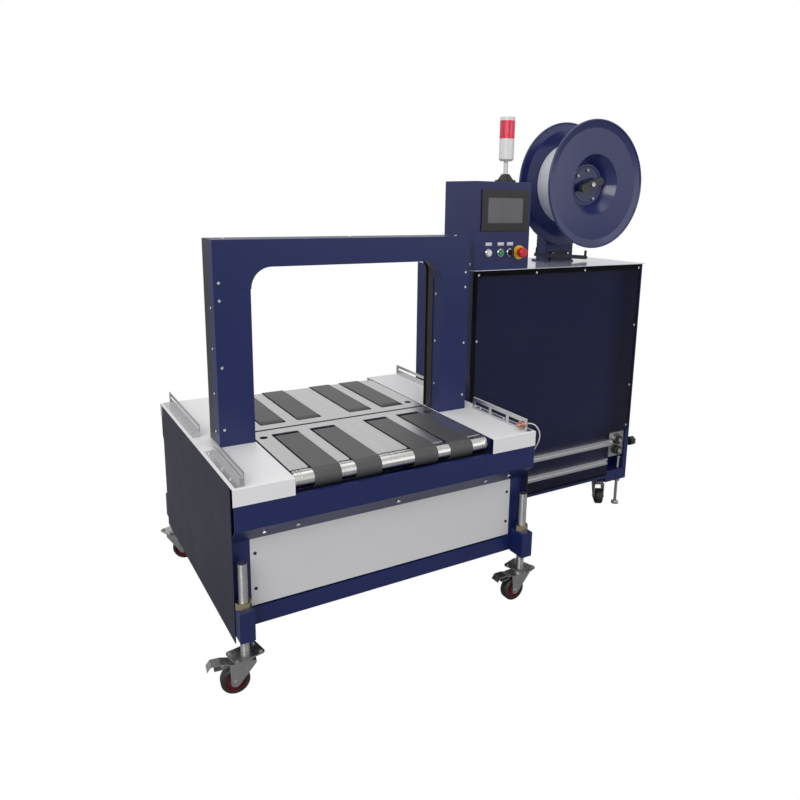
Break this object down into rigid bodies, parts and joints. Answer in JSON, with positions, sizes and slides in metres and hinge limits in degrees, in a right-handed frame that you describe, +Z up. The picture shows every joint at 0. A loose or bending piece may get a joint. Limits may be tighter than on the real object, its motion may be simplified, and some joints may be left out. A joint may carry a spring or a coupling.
{
  "type": "strapping machine",
  "caption": "Arch strapping machine: belt table on castors with a strap arch, side cabinet, strap reel, control box and signal lamp.",
  "frame": {"origin": "middle of the machine's footprint at floor level", "axes": "+Z up, +X across the table towards the strap cabinet, +Y the way the packages travel"},
  "size_m": [1.891, 0.8812, 1.544],
  "materials": {
    "blue_paint": "semi-gloss powder coat",
    "navy_paint": "satin powder coat",
    "reel_paint": "gloss paint",
    "white_paint": "satin powder coat",
    "grey_white_paint": "satin powder coat",
    "stainless": "brushed",
    "turned_steel": "turned",
    "zinc_steel": "zinc plated",
    "yellow_zinc": "yellow zinc plated",
    "belt_rubber": "matt, slightly worn",
    "black_plastic": "satin",
    "clear_sheet": "clear tinted acrylic",
    "roof_sheet": "gloss translucent acrylic",
    "aluminium_bar": "extruded, satin",
    "wheel_rubber": "satin",
    "feed_rubber": "satin",
    "strap_plastic": "wound strap",
    "white_plastic": "gloss",
    "red_lens": "ribbed translucent",
    "red_plastic": "gloss",
    "yellow_plastic": "gloss",
    "green_plastic": "gloss",
    "silver_ring": "satin chrome",
    "screen_plastic": "satin bezel and grey screen",
    "sensor_brass": "coppery nickel",
    "cable_plastic": "matt"
  },
  "bodies": {
    "machine": {"arch_covers": "blue_paint", "arch_housing": "blue_paint", "base_frame": "blue_paint", "cabinet_body": "blue_paint", "cabinet_roof": "roof_sheet", "cabinet_window": "clear_sheet", "cable_gland": "black_plastic", "castor_mounts": "zinc_steel", "control_box": "blue_paint", "end_beams": "blue_paint", "end_panels": "grey_white_paint", "feed_belts": "belt_rubber", "feed_bracket": "zinc_steel", "guide_arm": "navy_paint", "inner_rollers": "turned_steel", "levelling_feet": "zinc_steel", "light_bar": "white_plastic", "photo_sensor": "sensor_brass", "reel_stand": "blue_paint", "sensor_cable": "cable_plastic", "sensor_guide": "stainless", "side_guides": "stainless", "side_panels": "navy_paint", "signal_lamp": "red_lens", "slotted_plates": "stainless", "stem_nuts": "yellow_zinc", "stop_disc": "yellow_plastic", "strap_channels": "aluminium_bar", "strap_track": "black_plastic", "switch_collars": "silver_ring", "table_wings": "white_paint", "touch_screen": "screen_plastic", "tower_foot": "black_plastic", "tower_housing": "white_plastic"},
    "castor_front_left": {"fork_front_left": "zinc_steel"},
    "castor_wheel_front_left": {"wheel_front_left": "wheel_rubber"},
    "castor_front_right": {"fork_front_right": "zinc_steel"},
    "castor_wheel_front_right": {"wheel_front_right": "wheel_rubber"},
    "castor_rear_left": {"fork_rear_left": "zinc_steel"},
    "castor_wheel_rear_left": {"wheel_rear_left": "wheel_rubber"},
    "castor_rear_right": {"fork_rear_right": "zinc_steel"},
    "castor_wheel_rear_right": {"wheel_rear_right": "wheel_rubber"},
    "cabinet_castor_wheel_front_left": {"cabinet_wheel_front_left": "wheel_rubber"},
    "cabinet_castor_front_left": {"cabinet_fork_front_left": "zinc_steel"},
    "cabinet_castor_wheel_front_right": {"cabinet_wheel_front_right": "wheel_rubber"},
    "cabinet_castor_front_right": {"cabinet_fork_front_right": "zinc_steel"},
    "cabinet_castor_wheel_rear_left": {"cabinet_wheel_rear_left": "wheel_rubber"},
    "cabinet_castor_wheel_rear_right": {"cabinet_wheel_rear_right": "wheel_rubber"},
    "front_drum": {"front_roller": "turned_steel"},
    "rear_drum": {"rear_roller": "turned_steel"},
    "reel_unit": {"reel": "reel_paint", "strap_coil": "strap_plastic"},
    "reel_nut_unit": {"reel_nut": "black_plastic"},
    "lower_feed": {"lower_feed_wheel": "feed_rubber"},
    "upper_feed": {"upper_feed_wheel": "feed_rubber"},
    "knob": {"side_knob": "black_plastic"},
    "white_push": {"white_button": "white_plastic"},
    "green_push": {"green_button": "green_plastic"},
    "selector": {"selector_switch": "black_plastic"},
    "stop_push": {"stop_head": "red_plastic"}
  },
  "joints": [
    {"name": "swivel_front_left", "type": "hinge", "parent": "machine", "child": "castor_front_left", "pos_m": [-0.84621, -0.39368, 0.09], "axis": [0, 0, 1], "continuous": true},
    {"name": "roll_front_left", "type": "hinge", "parent": "castor_front_left", "child": "castor_wheel_front_left", "pos_m": [-0.87394, -0.38978, 0.0375], "axis": [0.1392, 0.9903, 0], "continuous": true},
    {"name": "swivel_front_right", "type": "hinge", "parent": "machine", "child": "castor_front_right", "pos_m": [0.04919, -0.39368, 0.09], "axis": [0, 0, 1], "continuous": true},
    {"name": "roll_front_right", "type": "hinge", "parent": "castor_front_right", "child": "castor_wheel_front_right", "pos_m": [0.02119, -0.39368, 0.0375], "axis": [0, 1, 0], "continuous": true},
    {"name": "swivel_rear_left", "type": "hinge", "parent": "machine", "child": "castor_rear_left", "pos_m": [-0.84621, 0.40032, 0.09], "axis": [0, 0, 1], "continuous": true},
    {"name": "roll_rear_left", "type": "hinge", "parent": "castor_rear_left", "child": "castor_wheel_rear_left", "pos_m": [-0.82196, 0.38632, 0.0375], "axis": [-0.5, -0.866, 0], "continuous": true},
    {"name": "swivel_rear_right", "type": "hinge", "parent": "machine", "child": "castor_rear_right", "pos_m": [0.04919, 0.40032, 0.09], "axis": [0, 0, 1], "continuous": true},
    {"name": "roll_rear_right", "type": "hinge", "parent": "castor_rear_right", "child": "castor_wheel_rear_right", "pos_m": [0.02625, 0.38426, 0.0375], "axis": [-0.5736, 0.8192, 0], "continuous": true},
    {"name": "cabinet_swivel_front_left", "type": "hinge", "parent": "machine", "child": "cabinet_castor_front_left", "pos_m": [0.16349, 0.02832, 0.09], "axis": [0, 0, 1], "continuous": true},
    {"name": "cabinet_roll_front_left", "type": "hinge", "parent": "cabinet_castor_front_left", "child": "cabinet_castor_wheel_front_left", "pos_m": [0.15665, 0.00953, 0.032], "axis": [-0.9397, 0.342, 0], "continuous": true},
    {"name": "cabinet_swivel_front_right", "type": "hinge", "parent": "machine", "child": "cabinet_castor_front_right", "pos_m": [0.81149, 0.02832, 0.09], "axis": [0, 0, 1], "continuous": true},
    {"name": "cabinet_roll_front_right", "type": "hinge", "parent": "cabinet_castor_front_right", "child": "cabinet_castor_wheel_front_right", "pos_m": [0.80119, 0.01118, 0.032], "axis": [-0.8572, 0.515, 0], "continuous": true},
    {"name": "cabinet_roll_rear_left", "type": "hinge", "parent": "machine", "child": "cabinet_castor_wheel_rear_left", "pos_m": [0.16349, 0.22832, 0.032], "axis": [-1, 0, 0], "continuous": true},
    {"name": "cabinet_roll_rear_right", "type": "hinge", "parent": "machine", "child": "cabinet_castor_wheel_rear_right", "pos_m": [0.81149, 0.22832, 0.032], "axis": [-1, 0, 0], "continuous": true},
    {"name": "front_roller_turn", "type": "hinge", "parent": "machine", "child": "front_drum", "pos_m": [-0.39851, -0.36768, 0.5357], "axis": [1, 0, 0], "continuous": true},
    {"name": "rear_roller_turn", "type": "hinge", "parent": "machine", "child": "rear_drum", "pos_m": [-0.39851, 0.37432, 0.5357], "axis": [1, 0, 0], "continuous": true},
    {"name": "reel_turn", "type": "hinge", "parent": "machine", "child": "reel_unit", "pos_m": [0.61549, 0.03532, 1.313], "axis": [0, 1, 0], "continuous": true},
    {"name": "reel_nut_turn", "type": "hinge", "parent": "reel_unit", "child": "reel_nut_unit", "pos_m": [0.61549, -0.01168, 1.313], "axis": [0, 1, 0], "range_deg": [-90, 90]},
    {"name": "lower_feed_turn", "type": "hinge", "parent": "machine", "child": "lower_feed", "pos_m": [0.83349, -0.04268, 0.25], "axis": [0, 1, 0], "continuous": true},
    {"name": "upper_feed_turn", "type": "hinge", "parent": "machine", "child": "upper_feed", "pos_m": [0.83349, -0.04268, 0.294], "axis": [0, 1, 0], "continuous": true},
    {"name": "knob_turn", "type": "hinge", "parent": "machine", "child": "knob", "pos_m": [0.91749, -0.02368, 0.267], "axis": [1, 0, 0], "range_deg": [0, 270]},
    {"name": "white_button_press", "type": "slide", "parent": "machine", "child": "white_push", "axis": [0, 1, 0], "range_m": [0, 0.003], "stiffness_N_per_m": 800, "springref_m": -0.001},
    {"name": "green_button_press", "type": "slide", "parent": "machine", "child": "green_push", "axis": [0, 1, 0], "range_m": [0, 0.003], "stiffness_N_per_m": 800, "springref_m": -0.001},
    {"name": "selector_turn", "type": "hinge", "parent": "machine", "child": "selector", "pos_m": [0.22549, -0.05168, 1.075], "axis": [0, 1, 0], "range_deg": [-45, 45]},
    {"name": "stop_press", "type": "slide", "parent": "machine", "child": "stop_push", "axis": [0, 1, 0], "range_m": [0, 0.006], "stiffness_N_per_m": 1500, "springref_m": -0.001}
  ]
}
